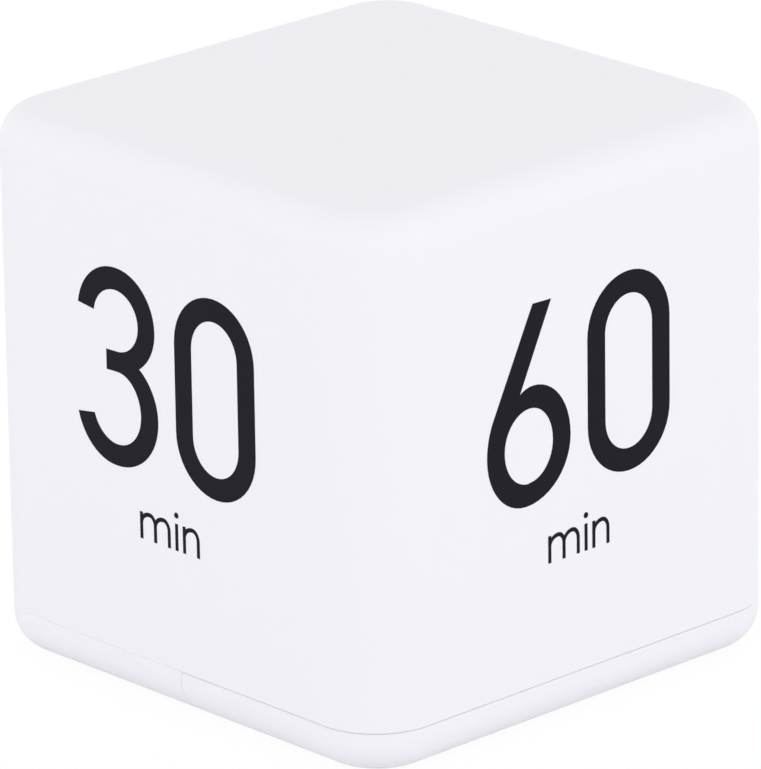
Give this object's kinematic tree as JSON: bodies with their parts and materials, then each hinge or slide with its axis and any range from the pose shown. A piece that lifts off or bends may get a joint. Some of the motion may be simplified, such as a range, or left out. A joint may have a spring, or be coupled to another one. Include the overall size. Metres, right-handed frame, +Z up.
{
  "type": "cube timer",
  "caption": "White moulded cube timer that is turned to the wanted minutes, with a display, slide switch and sliding battery door in its underside.",
  "frame": {"origin": "centre of the underside, which carries the display and the battery door", "axes": "+Z up from the underside to the blank top, -Y out of the face numbered 30, +X out of the face numbered 60"},
  "size_m": [0.063, 0.063, 0.063],
  "materials": {
    "shell_plastic": "satin white moulded ABS",
    "window_acrylic": "clear polished acrylic",
    "display_glass": "grey-green liquid crystal glass",
    "frame_plastic": "moulded",
    "strip_rubber": "cut silicone",
    "board_laminate": "solder mask",
    "chip_resin": "cured resin",
    "can_steel": "drawn",
    "capacitor_sleeve": "shrunk sleeve",
    "chip_ceramic": "fired",
    "switch_steel": "stamped",
    "lever_plastic": "moulded",
    "knob_plastic": "satin",
    "sounder_plastic": "moulded",
    "disc_brass": "rolled",
    "cell_jacket": "printed film over a metal can",
    "contact_nickel": "nickel plated",
    "screw_steel": "zinc plated",
    "lead_red": "PVC",
    "lead_black": "PVC",
    "plug_plastic": "moulded",
    "ball_steel": "polished"
  },
  "bodies": {
    "housing": {"housing_shell": "shell_plastic", "base_cover": "shell_plastic", "display_window": "window_acrylic", "lcd_panel": "display_glass", "lcd_frame": "frame_plastic", "connector_strip_1": "strip_rubber", "connector_strip_2": "strip_rubber", "main_board": "board_laminate", "timer_chip": "chip_resin", "quartz_crystal": "can_steel", "board_capacitor": "capacitor_sleeve", "chip_resistors": "chip_ceramic", "switch_body": "switch_steel", "sounder_case": "sounder_plastic", "sounder_disc": "disc_brass", "battery_cell_1": "cell_jacket", "battery_cell_2": "cell_jacket", "button_contact": "contact_nickel", "spring_contact": "contact_nickel", "link_contact": "contact_nickel", "cover_screws": "screw_steel", "board_screws": "screw_steel", "lead_positive": "lead_red", "lead_negative": "lead_black", "tilt_can_1": "can_steel", "tilt_plug_1": "plug_plastic", "tilt_can_2": "can_steel", "tilt_plug_2": "plug_plastic", "tilt_can_3": "can_steel", "tilt_plug_3": "plug_plastic", "tilt_can_4": "can_steel", "tilt_plug_4": "plug_plastic"},
    "door": {"battery_door": "shell_plastic"},
    "switch": {"switch_knob": "knob_plastic", "switch_lever": "lever_plastic"},
    "tilt_ball_1": {"tilt_ball_1": "ball_steel"},
    "tilt_ball_2": {"tilt_ball_2": "ball_steel"},
    "tilt_ball_3": {"tilt_ball_3": "ball_steel"},
    "tilt_ball_4": {"tilt_ball_4": "ball_steel"}
  },
  "joints": [
    {"name": "battery_door_slide", "type": "slide", "parent": "housing", "child": "door", "axis": [1, 0, 0], "range_m": [0, 0.034]},
    {"name": "switch_slide", "type": "slide", "parent": "housing", "child": "switch", "axis": [1, 0, 0], "range_m": [0, 0.004]},
    {"name": "tilt_ball_roll_1", "type": "slide", "parent": "housing", "child": "tilt_ball_1", "axis": [0, 1, 0], "range_m": [0, 0.0027]},
    {"name": "tilt_ball_roll_2", "type": "slide", "parent": "housing", "child": "tilt_ball_2", "axis": [0, -1, 0], "range_m": [0, 0.0027]},
    {"name": "tilt_ball_roll_3", "type": "slide", "parent": "housing", "child": "tilt_ball_3", "axis": [1, 0, 0], "range_m": [0, 0.0027]},
    {"name": "tilt_ball_roll_4", "type": "slide", "parent": "housing", "child": "tilt_ball_4", "axis": [-1, 0, 0], "range_m": [0, 0.0027]}
  ]
}
